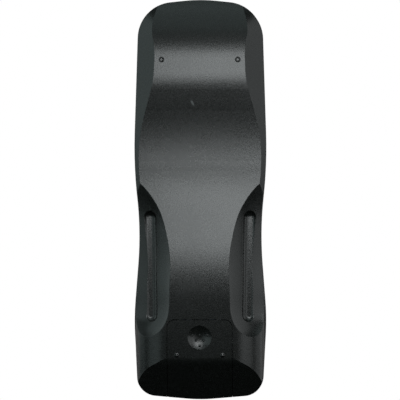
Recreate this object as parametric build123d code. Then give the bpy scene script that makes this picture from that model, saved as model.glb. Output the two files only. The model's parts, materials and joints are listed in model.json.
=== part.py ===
from build123d import *
import os
from math import cos, hypot, radians, sin, sqrt, tan

# Remote control for television and video, keys up, lying on the four nubs of its back.
# Origin under the middle of the remote on the surface it lies on, +Y to the infrared end, +Z to the keys.

# Heights above the surface it lies on
FOOT_H = 0.7
SEAM_Z = 17.5
FACE_Z = 26.0
CAP_Z = 27.3

# Plan outline at the parting line: half widths, where they lie, and the radii that round them
LENGTH = 200.0
HEAD_HALF = 30.9
HEAD_RADIUS = 18.5
HEAD_APEX = 0.4
HEAD_BOW = 3.3
HEAD_BOW_RADIUS = 73.0
SHOULDER_HALF = 33.4
SHOULDER_Y = 17.4
SHOULDER_RADIUS = 228.0
WAIST_HALF = 29.85
WAIST_Y = -15.4
WAIST_RADIUS = 178.0
HIP_HALF = 33.2
HIP_Y = -58.8
HIP_RADIUS = 130.0
TAIL_HALF = 31.2
TAIL_RADIUS = 10.0
TAIL_APEX = 0.3
TAIL_BOW = 2.75
TAIL_BOW_RADIUS = 80.0

# Wave of the back, from the nose over crest, valley and ramp to the battery plateau and the tail slope
NOSE_START = 12.5
NOSE_SLOPE = 33.6
NOSE_RADIUS = 56.0
CREST_END_Y = 60.0
CREST_END_RADIUS = 60.0
VALLEY_Z = 5.75
VALLEY_HEAD_Y = 32.0
VALLEY_HEAD_RADIUS = 150.0
VALLEY_TAIL_Y = 5.9
VALLEY_TAIL_RADIUS = 130.0
PLATEAU_Y = -34.3
PLATEAU_RADIUS = 245.0
CREASE_FROM_TAIL = 19.4
CREASE_RADIUS = 8.0
TAIL_SLOPE = 28.0

# Side walls, the facets beside the upper back and the rounded flanks beside the battery plateau
WALL = 2.0
SIDE_DRAFT = 1.5
FACE_DRAFT_INSET = 0.6
FACE_EDGE_RADIUS = 2.5
FACET_RIM_Z = 7.2
FACET_SLOPE = 35.5
FLANK_START_Y = -35.0
FLANK_WIDTH = 15.5
FLANK_HEIGHT = 9.0

# Side scoops: a barrel beside and below each flank, and the (y, reach) line that turns about its axis
SCOOP_AXIS_X = 36.0
SCOOP_AXIS_Z = -20.0
SCOOP_LINE = [
    (21.0, 23.4),
    (6.0, 26.8),
    (-8.0, 29.4),
    (-23.0, 30.1),
    (-38.0, 30.0),
    (-52.0, 29.1),
    (-61.0, 28.2),
    (-70.0, 23.5),
    (-80.0, 11.5),
]

# Grip groove in the floor of each scoop
GROOVE_WIDTH = 6.8
GROOVE_HEAD = (25.1, -9.1, 9.2)
GROOVE_TAIL = (24.5, -57.6, 7.7)
GROOVE_FLOOR_RADIUS = 2.6
SCOOP_EDGE_RADIUS = 0.4

# Battery cells and bay
CELL_DIAMETER = 14.5
CELL_LENGTH = 49.5
CELL_BUTTON_DIAMETER = 5.5
CELL_BUTTON_LENGTH = 1.0
CELL_GAP = 0.35
CELL_CLEARANCE = 0.4
SPRING_LENGTH = 3.5
SPRING_WIRE = 0.7
SPRING_RADIUS = 4.2
SPRING_TIP_RADIUS = 2.8
SPRING_SINK = 0.15
CONTACT_T = 0.4
CONTACT_WIDTH = 9.5
CONTACT_TAB_WIDTH = 3.0
BAY_WALL = 1.3
BAY_END_WALL = 1.5
ROOF_T = 1.2

# Battery door
DOOR_WIDTH = 32.1
DOOR_LENGTH = 40.2
DOOR_CORNER = 3.7
DOOR_T = 1.8
DOOR_GAP = 0.3
DOOR_TOP_GAP = 0.2
DOOR_TRAVEL = 40.0
TONGUE_Z = 5.0
TONGUE_H = 1.0
TONGUE_REACH = 1.0
FLANGE_T = 1.15
BULKHEAD_FROM_TAIL = 18.0
BULKHEAD_T = 1.5
BULKHEAD_CLEARANCE = 0.4
DISH_FROM_DOOR_TOP = 8.7
DISH_DIAMETER = 11.9
DISH_DEPTH = 1.3
DISH_FLOOR_T = 1.6
DOT_DIAMETER = 1.3
DOT_PITCH = 3.8
DOT_ROW_PITCH = 2.6
DOT_TOP_ROW = 1.1
DOT_ROWS = (3, 2, 1)

# Nubs that the remote lies on
NUB_DIAMETER = 2.1
NUB_TIP_DIAMETER = 1.2
HEAD_NUB = (19.0, 30.4)
TAIL_NUB = (11.4, 22.6)

# Lip along the parting line
LIP_INSET = 1.1
LIP_H = 1.2
LIP_GAP = 0.1

# Circuit board, its screws and what is soldered to it
BOARD_Z = 19.2
BOARD_T = 1.6
BOARD_INSET = 3.0
BOARD_HEAD_MARGIN = 12.0
BOARD_TAIL_MARGIN = 11.0
BOSS_DIAMETER = 5.2
SCREW_DIAMETER = 2.2
SCREW_HEAD_DIAMETER = 4.2
SCREW_HEAD_H = 1.4
SCREW_LENGTH = 4.6
BORE_END_GAP = 0.2
SCREW_CLEARANCE = 0.1
SCREW_PLACES = [(25.6, 74.0), (25.0, -12.0), (25.0, -79.0)]
CHIP_SIZE = (7.5, 10.3, 2.3)
CHIP_Y = 42.0
CHIP_LEGS = 8
CHIP_LEG_PITCH = 1.27
RESONATOR_SIZE = (7.0, 3.0, 6.0)
RESONATOR_PLACE = (-11.0, 24.0)
CAPACITOR_DIAMETER = 5.0
CAPACITOR_LENGTH = 8.0
CAPACITOR_PLACE = (9.0, 14.0)
LED_DIAMETER = 5.0
LED_LENGTH = 7.6
LED_LEG = 0.5
LED_RIM = 0.4
LED_LEG_PITCH = 2.54
LED_LEG_LENGTH = 2.2

# Infrared window in the head end
WINDOW_WIDTH = 30.0
WINDOW_H = 5.8
WINDOW_GAP = 0.1
WINDOW_RIM = 1.5
WINDOW_RIM_T = 1.0
WINDOW_RIM_UP = 0.3

# Keys and the rubber sheet below them
KEY_GAP = 0.3
KEY_TRAVEL = 1.0
KEY_FLANGE = 1.1
KEY_FLANGE_T = 0.8
KEY_FLANGE_GAP = 0.3
KEY_EDGE = 0.5
SHEET_T = 0.8
SHEET_INSET = 3.6
SHEET_HOLE_MARGIN = 0.5
DOME_RADIUS = 3.2
DOME_TOP_RADIUS = 2.2
DOME_CLEARANCE = 0.3
ROCKER_LENGTH = 27.0
ROCKER_WIDTH = 9.5
ROCKER_END_GAP = 0.5
ROCKER_FLANGE_LENGTH = 8.0
ROCKER_FLANGE_T = 0.5
ROCKER_DOME_OFFSET = 8.5

# Key layout on the face, measured from the head end
TOP_ROW = 20.0
TOP_KEY_X = 18.0
POWER_DIAMETER = 9.5
SOURCE_SIZE = (11.0, 7.0)
DIGIT_TOP_ROW = 34.0
DIGIT_ROW_PITCH = 11.5
DIGIT_COLUMN_PITCH = 15.5
DIGIT_SIZE = (10.6, 7.2)
ROCKER_PLACE = (18.5, 92.0)
MUTE_ROW = 85.5
MENU_ROW = 98.0
SMALL_KEY_SIZE = (10.0, 6.4)
RING_ROW = 126.0
RING_OUTER = 15.5
RING_INNER = 7.6
RING_SPLIT = 3.4
RING_CORNER = 1.0
OK_DIAMETER = 10.0
BACK_PLACE = (20.3, 143.5)
COLOUR_ROW = 156.0
COLOUR_PITCH = 13.0
COLOUR_SIZE = (9.0, 5.6)
COLOUR_CORNER = 1.4

# Values worked out from the sizes above
HALF = LENGTH / 2
BEYOND = 12.0
DRAFT = tan(radians(SIDE_DRAFT))
FACET_COT = 1 / tan(radians(FACET_SLOPE))
CREASE_Y = -HALF + CREASE_FROM_TAIL
PLATE_T = WALL
FLANGE_TOP_Z = FACE_Z - PLATE_T - KEY_FLANGE_GAP
FLANGE_Z = FLANGE_TOP_Z - KEY_FLANGE_T
BOARD_TOP_Z = BOARD_Z + BOARD_T
SHEET_TOP_Z = BOARD_TOP_Z + SHEET_T
CELL_X = (CELL_DIAMETER + CELL_GAP) / 2 + CELL_GAP / 2
CELL_Z = FOOT_H + DOOR_T + CELL_CLEARANCE + CELL_DIAMETER / 2
CELL_TOP_Z = CELL_Z + CELL_DIAMETER / 2
ROOF_Z = CELL_TOP_Z + DOOR_GAP
DOOR_HALF = DOOR_WIDTH / 2
DOOR_TOP_Y = -HALF + DOOR_LENGTH
OPENING_HALF = DOOR_HALF + DOOR_GAP
GUIDE_HALF = OPENING_HALF - TONGUE_REACH
BULKHEAD_Y = -HALF + BULKHEAD_FROM_TAIL
BRIDGE_Y = BULKHEAD_Y + CONTACT_T
HEAD_CONTACT_Y = BRIDGE_Y + CELL_LENGTH + CELL_BUTTON_LENGTH + SPRING_LENGTH
BAY_HEAD_Y = HEAD_CONTACT_Y + CONTACT_T
LED_Z = BOARD_TOP_Z + LED_LEG / 2
BOARD_HEAD_Y = HALF - BOARD_HEAD_MARGIN


def inset(corners, amount):
    """Corners (u, v, radius) of a counterclockwise outline whose sides are all moved inwards by amount."""
    sides = []
    for (u0, v0, _), (u1, v1, _) in zip(corners, corners[1:] + corners[:1]):
        run = hypot(u1 - u0, v1 - v0)
        du, dv = (u1 - u0) / run, (v1 - v0) / run
        sides.append((u0 - dv * amount, v0 + du * amount, du, dv))
    moved = []
    for i, (_, _, radius) in enumerate(corners):
        au, av, adu, adv = sides[i - 1]
        bu, bv, bdu, bdv = sides[i]
        turn = adu * bdv - adv * bdu
        step = ((bu - au) * bdv - (bv - av) * bdu) / turn
        change = -amount if turn > 0 else amount
        new_radius = max(radius + change, 0.5) if radius else 0
        moved.append((au + adu * step, av + adv * step, new_radius))
    return moved


def rounded(corners):
    """Face inside an outline of (u, v, radius) corners."""
    points = [(u, v) for u, v, _ in corners]
    return make_face(FilletPolyline(*points, radius=[r for _, _, r in corners], close=True))


def box(x, y, z):
    """Box between two limits on each axis."""
    return Pos(min(x), min(y), min(z)) * Box(
        abs(x[1] - x[0]), abs(y[1] - y[0]), abs(z[1] - z[0]), align=(Align.MIN, Align.MIN, Align.MIN)
    )


def both_sides(solid):
    """The solid and its mirror image across the middle plane."""
    return [solid, mirror(solid, Plane.YZ)]


def plan_corners():
    """Outline of the remote at the parting line, counterclockwise from the middle of the head end."""
    right = [
        (HEAD_HALF, HALF + HEAD_APEX - HEAD_BOW, HEAD_RADIUS),
        (SHOULDER_HALF, SHOULDER_Y, SHOULDER_RADIUS),
        (WAIST_HALF, WAIST_Y, WAIST_RADIUS),
        (HIP_HALF, HIP_Y, HIP_RADIUS),
        (TAIL_HALF, -(HALF + TAIL_APEX - TAIL_BOW), TAIL_RADIUS),
    ]
    left = [(-x, y, r) for x, y, r in right]
    head = (0.0, HALF + HEAD_APEX, HEAD_BOW_RADIUS)
    tail = (0.0, -(HALF + TAIL_APEX), TAIL_BOW_RADIUS)
    return [head] + left + [tail] + right[::-1]


def section(amount, z):
    """Plan outline moved inwards by amount, at height z."""
    return Pos(0, 0, z) * rounded(inset(plan_corners(), amount))


def wave_prism(amount):
    """Space above the wave of the back, its surface moved inwards by amount, wider than the remote."""
    sky = FACE_Z + BEYOND
    corners = [
        (HALF + BEYOND, sky, 0),
        (-HALF - BEYOND, sky, 0),
        (-HALF - BEYOND, FOOT_H + (BEYOND + CREASE_FROM_TAIL) * tan(radians(TAIL_SLOPE)), 0),
        (CREASE_Y, FOOT_H, CREASE_RADIUS),
        (PLATEAU_Y, FOOT_H, PLATEAU_RADIUS),
        (VALLEY_TAIL_Y, VALLEY_Z, VALLEY_TAIL_RADIUS),
        (VALLEY_HEAD_Y, VALLEY_Z - 0.1, VALLEY_HEAD_RADIUS),
        (CREST_END_Y, FOOT_H + 0.1, CREST_END_RADIUS),
        (HALF - NOSE_START, FOOT_H, NOSE_RADIUS),
        (HALF + BEYOND, FOOT_H + (BEYOND + NOSE_START) * tan(radians(NOSE_SLOPE)), 0),
    ]
    return extrude(Plane.YZ * rounded(inset(corners, amount)), HIP_HALF + BEYOND, both=True)


def scoop_tool(grown):
    """Barrel that cuts the right-hand scoop, grown outwards by the amount given."""
    line = Spline(*SCOOP_LINE)
    points = []
    for place in range(len(SCOOP_LINE)):
        share = place / (len(SCOOP_LINE) - 1)
        along = line % share
        points.append(line @ share + Vector(along.Y, -along.X) * grown)
    ends = Polyline(points[-1], (points[-1].X, 0), (points[0].X, 0), points[0])
    axis_plane = Plane(origin=(SCOOP_AXIS_X, 0, SCOOP_AXIS_Z), x_dir=(0, 1, 0), z_dir=(1, 0, 0))
    axis = Axis((SCOOP_AXIS_X, 0, SCOOP_AXIS_Z), (0, 1, 0))
    return revolve(axis_plane * make_face([Spline(*points), ends]), axis, 360)


def groove_tool(grown):
    """Round-ended bar with a slightly sloping flat floor that cuts the right-hand grip groove."""
    head, tail = Vector(*GROOVE_HEAD), Vector(*GROOVE_TAIL)
    along = (head - tail).normalized()
    across = along.cross(Vector(0, 0, 1)).normalized()
    out = along.cross(across)
    floor = (head + tail) / 2 - out * grown
    plane = Plane(origin=floor, x_dir=along, z_dir=out)
    width = GROOVE_WIDTH + 2 * grown
    bar = extrude(plane * SlotCenterToCenter((head - tail).length, width), SEAM_Z)
    floor_edges = bar.faces().sort_by(Axis.Z)[-1].edges()
    return fillet(floor_edges, GROOVE_FLOOR_RADIUS + grown)


def flank_tool(amount):
    """What the rounded flank beside the plateau leaves away on the right, moved inwards by amount."""
    width, height = FLANK_WIDTH - amount, FLANK_HEIGHT - amount
    start_x = DOOR_HALF + DOOR_GAP + 0.35
    centre_z = FOOT_H + FLANK_HEIGHT
    low_z, far_x = centre_z - height - BEYOND, start_x + width + BEYOND
    arc = EllipticalCenterArc((start_x, centre_z), width, height, 270, arc_size=90)
    rest = Polyline(
        (start_x + width, centre_z),
        (far_x, centre_z),
        (far_x, low_z),
        (start_x, low_z),
        (start_x, centre_z - height),
    )
    return extrude(Plane.XZ.offset(-FLANK_START_Y) * make_face([arc, rest]), HALF + BEYOND)


def back_form(amount):
    """Outer form of the rear cover up to the parting line, every surface moved inwards by amount."""
    low_z = FOOT_H + amount - 1.0
    rim_z = FACET_RIM_Z + amount * (1 / sin(radians(FACET_SLOPE)) - 1) / (FACET_COT - DRAFT)

    def wall_inset(z):
        return amount + (SEAM_Z - z) * DRAFT

    facet_foot = section(wall_inset(rim_z) + (rim_z - low_z) * FACET_COT, low_z)
    seam = section(amount, SEAM_Z)
    upper = loft([facet_foot, section(wall_inset(rim_z), rim_z), seam], ruled=True)
    tail = loft([section(wall_inset(low_z), low_z), seam], ruled=True)
    reach, height = HIP_HALF + BEYOND, (low_z - 1, SEAM_Z + 1)
    upper &= box((-reach, reach), (FLANK_START_Y, HALF + BEYOND), height)
    tail &= box((-reach, reach), (-HALF - BEYOND, FLANK_START_Y), height)
    for tool in both_sides(flank_tool(amount)):
        tail -= tool
    form = (upper + tail) & wave_prism(amount)
    for tool in both_sides(scoop_tool(amount)) + both_sides(groove_tool(amount)):
        form -= tool
    return form


def soft_edges(form):
    """The form with the edges of its scoops rounded."""
    edges = []
    for barrel in both_sides(scoop_tool(0)):
        surface = barrel.faces().sort_by(SortBy.AREA)[-1]
        edges += [e for e in form.edges() if max(surface.distance_to(e @ t) for t in (0.1, 0.5)) < 0.001]
    return fillet(edges, SCOOP_EDGE_RADIUS)


def face_form(amount):
    """Outer form of the front cover above the parting line, every surface moved inwards by amount."""
    top_z = FACE_Z - amount
    form = loft([section(amount, SEAM_Z), section(amount + FACE_DRAFT_INSET, top_z)], ruled=True)
    top_edges = form.faces().sort_by(Axis.Z)[-1].edges()
    return fillet(top_edges, max(FACE_EDGE_RADIUS - amount, 0.5))


def opening_prism(half, top_y, corner):
    """Tall prism over the door's plan, rounded at its two head-side corners."""
    far = -HALF - BEYOND
    corners = [(-half, top_y, corner), (-half, far, 0), (half, far, 0), (half, top_y, corner)]
    return Pos(0, 0, -BEYOND) * extrude(rounded(corners), BEYOND + SEAM_Z)


def nub(x, y):
    """Small blunt cone that the remote lies on."""
    height = FOOT_H + 0.3
    return Pos(x, y, height / 2) * Cone(NUB_TIP_DIAMETER / 2, NUB_DIAMETER / 2, height)


def lip_ring():
    """Thin lip that stands up from the rear cover's wall into the front cover, open at door and window."""
    low_z, height = SEAM_Z - LIP_H, 2 * LIP_H
    ring = extrude(section(LIP_INSET, low_z), height) - extrude(section(WALL, low_z), height)
    far = HALF + BEYOND
    ring -= box((-OPENING_HALF - 1, OPENING_HALF + 1), (-far, 0), (low_z - 1, SEAM_Z + BEYOND))
    ring -= box((-WINDOW_WIDTH / 2 - 2, WINDOW_WIDTH / 2 + 2), (0, far), (low_z - 1, SEAM_Z + BEYOND))
    return ring


def rear_cover(outer):
    """Moulded rear shell with the battery bay's walls, roof and door guides."""
    shell = outer - back_form(WALL) + lip_ring()
    wall_x = (GUIDE_HALF, OPENING_HALF + BAY_WALL)
    tail_y = -HALF + DOOR_T + WALL + DOOR_GAP
    low_z, seam = -1, SEAM_Z
    ribs = box(wall_x, (tail_y, BAY_HEAD_Y + BAY_END_WALL), (low_z, seam))
    ribs += box((0, wall_x[1]), (BAY_HEAD_Y, BAY_HEAD_Y + BAY_END_WALL), (low_z, seam))
    half_bay = ribs & outer
    half_bay += box(wall_x, (tail_y, BAY_HEAD_Y + BAY_END_WALL), (seam, ROOF_Z + ROOF_T))
    half_bay += box((0, wall_x[1]), (BAY_HEAD_Y, BAY_HEAD_Y + BAY_END_WALL), (seam, ROOF_Z + ROOF_T))
    half_bay += box((0, wall_x[1]), (tail_y, BAY_HEAD_Y + BAY_END_WALL), (ROOF_Z, ROOF_Z + ROOF_T))
    for side in both_sides(half_bay):
        shell += side
    groove_z = (TONGUE_Z - DOOR_GAP, TONGUE_Z + TONGUE_H + DOOR_GAP)
    groove = box((GUIDE_HALF - 1, OPENING_HALF), (-HALF - BEYOND, DOOR_TOP_Y), groove_z)
    trough_y = (DOOR_TOP_Y - 1, HEAD_CONTACT_Y + CONTACT_T)
    trough = Cylinder(CELL_DIAMETER / 2 + DOOR_GAP, trough_y[1] - trough_y[0], rotation=(90, 0, 0))
    trough = Pos(CELL_X, sum(trough_y) / 2, CELL_Z) * trough
    slot_x = (CELL_X - CONTACT_TAB_WIDTH / 2 - DOOR_GAP, CELL_X + CONTACT_TAB_WIDTH / 2 + DOOR_GAP)
    slot = box(slot_x, (HEAD_CONTACT_Y - DOOR_GAP, BAY_HEAD_Y), (ROOF_Z - 1, ROOF_Z + ROOF_T + 1))
    for tool in both_sides(groove) + both_sides(trough) + both_sides(slot):
        shell -= tool
    plan = opening_prism(OPENING_HALF, DOOR_TOP_Y + DOOR_GAP, DOOR_CORNER + DOOR_GAP)
    shell -= plan - wave_prism(DOOR_T + DOOR_GAP)
    shell -= box((-OPENING_HALF, OPENING_HALF), (-HALF - BEYOND, tail_y), (-BEYOND, SEAM_Z + LIP_H))
    for side in both_sides(nub(HEAD_NUB[0], HALF - HEAD_NUB[1])):
        shell += side
    return shell


def battery_door(outer):
    """Sliding door that wraps over the tail end, with its dish, dots, nubs, guides and bulkhead."""
    plan = opening_prism(DOOR_HALF, DOOR_TOP_Y, DOOR_CORNER)
    end_wall_y = -HALF + DOOR_T + WALL
    top_z = SEAM_Z - DOOR_TOP_GAP
    hollow = wave_prism(DOOR_T) & box((-DOOR_HALF, DOOR_HALF), (end_wall_y, 0), (0, FACE_Z))
    door = (outer & plan) - hollow - box((-HALF, HALF), (-HALF - BEYOND, 0), (top_z, FACE_Z))
    dish_centre_y = DOOR_TOP_Y - DISH_FROM_DOOR_TOP
    dish_radius = (DISH_DIAMETER**2 / 4 + DISH_DEPTH**2) / (2 * DISH_DEPTH)
    dish_z = FOOT_H + DISH_DEPTH - dish_radius
    dish = Pos(0, dish_centre_y, dish_z) * Sphere(dish_radius)
    bulge = Pos(0, dish_centre_y, dish_z) * Sphere(dish_radius + DISH_FLOOR_T)
    reach = DISH_DIAMETER / 2 + DISH_FLOOR_T
    dish_box = box((-reach, reach), (dish_centre_y - reach, dish_centre_y + reach), (FOOT_H + 0.1, CELL_Z))
    door += bulge & dish_box
    door -= dish
    for row, count in enumerate(DOT_ROWS):
        y = dish_centre_y + DOT_TOP_ROW - row * DOT_ROW_PITCH
        for place in range(count):
            x = (place - (count - 1) / 2) * DOT_PITCH
            z = dish_z + sqrt(dish_radius**2 - x**2 - (y - dish_centre_y) ** 2)
            door += Pos(x, y, z) * Sphere(DOT_DIAMETER / 2)
    for side in both_sides(nub(TAIL_NUB[0], -HALF + TAIL_NUB[1])):
        door += side
    inner = wave_prism(DOOR_T / 2)
    guide_top = TONGUE_Z + TONGUE_H
    flange_x = (GUIDE_HALF - DOOR_GAP - FLANGE_T, GUIDE_HALF - DOOR_GAP)
    guide_y = (end_wall_y - 0.5, DOOR_TOP_Y - WALL)
    flange = box(flange_x, guide_y, (FOOT_H, guide_top))
    flange += box((flange_x[1], DOOR_HALF), (BULKHEAD_Y, guide_y[1]), (TONGUE_Z, guide_top))
    rib_x = (CELL_X - BULKHEAD_T / 2, CELL_X + BULKHEAD_T / 2)
    flange += box(rib_x, (end_wall_y - 0.5, BULKHEAD_Y), (FOOT_H, CELL_Z))
    for side in both_sides(flange & inner):
        door += side
    bulkhead_z = (FOOT_H, ROOF_Z - BULKHEAD_CLEARANCE)
    bulkhead = box((-flange_x[1], flange_x[1]), (BULKHEAD_Y - BULKHEAD_T, BULKHEAD_Y), bulkhead_z)
    return door + (bulkhead & inner)


def coil(x, y, direction):
    """Conical battery spring from a plate at y towards a cell, direction +1 or -1 along Y."""
    turns = 3.25
    height = SPRING_LENGTH - SPRING_WIRE + SPRING_SINK
    taper = (SPRING_RADIUS - SPRING_TIP_RADIUS) / height
    path = Helix(
        pitch=height / turns,
        height=height,
        radius=SPRING_RADIUS,
        center=(x, y + direction * (SPRING_WIRE / 2 - SPRING_SINK), CELL_Z),
        direction=(0, direction, 0),
        cone_angle=-degrees_of(taper),
    )
    start = Plane(origin=path @ 0, z_dir=path % 0)
    return sweep(start * Circle(SPRING_WIRE / 2), path=path)


def degrees_of(slope):
    """Angle in degrees whose tangent is slope."""
    return Vector(1, slope, 0).get_angle(Vector(1, 0, 0))


def head_contact(x):
    """Contact plate on the bay's head end wall with a tab up to the circuit board."""
    half = CONTACT_WIDTH / 2
    y = (HEAD_CONTACT_Y, BAY_HEAD_Y)
    plate = box((x - half, x + half), y, (CELL_Z - half, CELL_Z + half))
    tab = box((x - CONTACT_TAB_WIDTH / 2, x + CONTACT_TAB_WIDTH / 2), y, (CELL_Z, BOARD_Z))
    return plate + tab


def spring_contact():
    """Contact with a coil spring for the left cell's flat end."""
    return head_contact(-CELL_X) + coil(-CELL_X, HEAD_CONTACT_Y, -1)


def bridge_contact():
    """Plate on the door's bulkhead that joins both cells, with a coil spring for the right cell."""
    reach = CELL_X + CONTACT_WIDTH / 2
    height = (CELL_Z - CONTACT_WIDTH / 2, CELL_Z + CONTACT_WIDTH / 2)
    plate = box((-reach, reach), (BULKHEAD_Y, BRIDGE_Y), height)
    return plate + coil(CELL_X, BRIDGE_Y, 1)


def cell(x, flat_y, direction):
    """AA cell from its flat end at flat_y, its button pointing along direction."""
    case = Cylinder(CELL_DIAMETER / 2, CELL_LENGTH, rotation=(90, 0, 0))
    case = fillet(case.edges().filter_by(GeomType.CIRCLE), 0.5)
    case = Pos(x, flat_y + direction * CELL_LENGTH / 2, CELL_Z) * case
    button_length = CELL_BUTTON_LENGTH + 1
    button = Cylinder(CELL_BUTTON_DIAMETER / 2, button_length, rotation=(90, 0, 0))
    button_y = flat_y + direction * (CELL_LENGTH + CELL_BUTTON_LENGTH - button_length / 2)
    return case + Pos(x, button_y, CELL_Z) * button


def screw_places():
    """Places of the board screws on both sides."""
    return [(side * x, y) for x, y in SCREW_PLACES for side in (-1, 1)]


def key_plan(kind, size):
    """Plan of a key about its own middle: round, oval or box."""
    if kind == "round":
        return Circle(size)
    if kind == "oval":
        return SlotOverall(*size)
    return RectangleRounded(*size, COLOUR_CORNER)


def ring_plan(turn):
    """Plan of one arrow key of the ring, the upper one turned by the angle given."""
    ring = Circle(RING_OUTER) - Circle(RING_INNER)
    start = RING_SPLIT / 2 * sqrt(2)
    far = 2 * RING_OUTER
    wedge = make_face(Polyline((0, start), (far, start + far), (-far, start + far), close=True))
    piece = fillet((ring & wedge).vertices(), RING_CORNER)
    return Rot(0, 0, turn) * piece


def key_layout():
    """Every pressing key as name: (plan, x, y)."""
    digit = key_plan("oval", DIGIT_SIZE)
    small = key_plan("oval", SMALL_KEY_SIZE)
    keys = {
        "key_power": (key_plan("round", POWER_DIAMETER / 2), -TOP_KEY_X, HALF - TOP_ROW),
        "key_source": (key_plan("oval", SOURCE_SIZE), TOP_KEY_X, HALF - TOP_ROW),
    }
    names = ["1", "2", "3", "4", "5", "6", "7", "8", "9", "dash", "0", "swap"]
    for place, name in enumerate(names):
        row, column = divmod(place, 3)
        y = HALF - DIGIT_TOP_ROW - row * DIGIT_ROW_PITCH
        keys["key_" + name] = (digit, (column - 1) * DIGIT_COLUMN_PITCH, y)
    keys["key_mute"] = (small, 0, HALF - MUTE_ROW)
    keys["key_menu"] = (small, 0, HALF - MENU_ROW)
    ring_y = HALF - RING_ROW
    for turn, name in ((0, "up"), (90, "left"), (180, "down"), (270, "right")):
        keys["key_" + name] = (ring_plan(turn), 0, ring_y)
    keys["key_ok"] = (key_plan("round", OK_DIAMETER / 2), 0, ring_y)
    keys["key_back"] = (small, BACK_PLACE[0], HALF - BACK_PLACE[1])
    for place, name in enumerate(("red", "green", "yellow", "blue")):
        x = (place - 1.5) * COLOUR_PITCH
        keys["key_" + name] = (key_plan("box", COLOUR_SIZE), x, HALF - COLOUR_ROW)
    return keys


def rocker_layout():
    """The two rockers as name: (x, y)."""
    x, row = ROCKER_PLACE
    return {"rocker_volume": (-x, HALF - row), "rocker_channel": (x, HALF - row)}


def rocker_plan(grown_side, grown_end):
    """Plan of a rocker, long way along Y, grown at its sides and ends."""
    return Rot(0, 0, 90) * SlotOverall(ROCKER_LENGTH + 2 * grown_end, ROCKER_WIDTH + 2 * grown_side)


def keycap(plan):
    """Hard keycap with the flange that holds it under the face."""
    cap = extrude(plan, CAP_Z - FLANGE_Z)
    cap = fillet(cap.faces().sort_by(Axis.Z)[-1].edges(), KEY_EDGE)
    flange = extrude(offset(plan, KEY_FLANGE), KEY_FLANGE_T)
    return Pos(0, 0, FLANGE_Z) * (cap + flange)


def rocker():
    """Hard rocker that tilts about its middle, with short side flanges."""
    cap = extrude(rocker_plan(0, 0), CAP_Z - FLANGE_Z)
    cap = fillet(cap.faces().sort_by(Axis.Z)[-1].edges(), KEY_EDGE)
    half = ROCKER_WIDTH / 2 + KEY_FLANGE
    flange = box(
        (-half, half), (-ROCKER_FLANGE_LENGTH / 2, ROCKER_FLANGE_LENGTH / 2), (0, ROCKER_FLANGE_T)
    )
    return Pos(0, 0, FLANGE_Z) * (cap + flange)


def dome_places():
    """Middles of the rubber domes under keys and rockers."""
    places = []
    for name, (plan, x, y) in key_layout().items():
        centre = plan.center() if name in ("key_up", "key_left", "key_down", "key_right") else Vector()
        places.append((x + centre.X, y + centre.Y))
    for x, y in rocker_layout().values():
        places += [(x, y + ROCKER_DOME_OFFSET), (x, y - ROCKER_DOME_OFFSET)]
    return places


def keypad_sheet():
    """Rubber sheet on the circuit board with a dome under every key."""
    reach = HIP_HALF + BEYOND
    low = HALF - COLOUR_ROW - COLOUR_SIZE[1] - 2
    high = HALF - TOP_ROW + POWER_DIAMETER / 2 + KEY_FLANGE
    sheet = extrude(section(SHEET_INSET, BOARD_TOP_Z), SHEET_T)
    sheet &= box((-reach, reach), (low, high), (BOARD_TOP_Z, SHEET_TOP_Z))
    hole = BOSS_DIAMETER / 2 + SHEET_HOLE_MARGIN
    for x, y in screw_places():
        sheet -= Pos(x, y, BOARD_TOP_Z) * Cylinder(hole, 4 * SHEET_T)
    sink = SHEET_T / 2
    height = FLANGE_Z - SHEET_TOP_Z + sink
    for x, y in dome_places():
        sheet += Pos(x, y, FLANGE_Z - height / 2) * Cone(DOME_RADIUS, DOME_TOP_RADIUS, height)
    return sheet


def front_cover():
    """Face shell with key openings, screw bosses, window opening and the rebate for the lip."""
    cover = face_form(0) - face_form(WALL)
    rebate_z = SEAM_Z - 1
    rebate = extrude(section(LIP_INSET - LIP_GAP, rebate_z), 1 + LIP_H + LIP_GAP)
    cover -= rebate
    plate_z = FACE_Z - PLATE_T
    for plan, x, y in key_layout().values():
        cover -= Pos(x, y, plate_z - 1) * extrude(offset(plan, KEY_GAP), PLATE_T + 2)
    for x, y in rocker_layout().values():
        cover -= Pos(x, y, plate_z - 1) * extrude(rocker_plan(KEY_GAP, ROCKER_END_GAP), PLATE_T + 2)
    boss_h = plate_z - BOARD_TOP_Z
    bore = SCREW_DIAMETER / 2 + SCREW_CLEARANCE / 2
    bore_h = boss_h + BORE_END_GAP
    for x, y in screw_places():
        boss = Pos(x, y, BOARD_TOP_Z + boss_h / 2 + 0.25) * Cylinder(BOSS_DIAMETER / 2, boss_h + 0.5)
        cover += boss
        cover -= Pos(x, y, BOARD_TOP_Z + bore_h / 2) * Cylinder(bore, bore_h)
    half = WINDOW_WIDTH / 2
    cover -= box((-half, half), (HALF / 2, HALF + BEYOND), (SEAM_Z - 1, SEAM_Z + WINDOW_H))
    return cover


def ir_window():
    """Dark window that fills the opening in the head end, with a thin rim behind the wall."""
    half = WINDOW_WIDTH / 2
    top = SEAM_Z + WINDOW_H
    span = (HALF / 2, HALF + BEYOND)
    pane_x = half - WINDOW_GAP
    pane = face_form(0) & box((-pane_x, pane_x), span, (SEAM_Z, top - WINDOW_GAP))
    rim_x = half + WINDOW_RIM
    rim = face_form(WALL) & box((-rim_x, rim_x), span, (SEAM_Z + LIP_H, top + WINDOW_RIM_UP))
    inside = extrude(section(WALL + WINDOW_RIM_T, SEAM_Z - 1), FACE_Z - SEAM_Z)
    return pane + rim - inside


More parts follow.
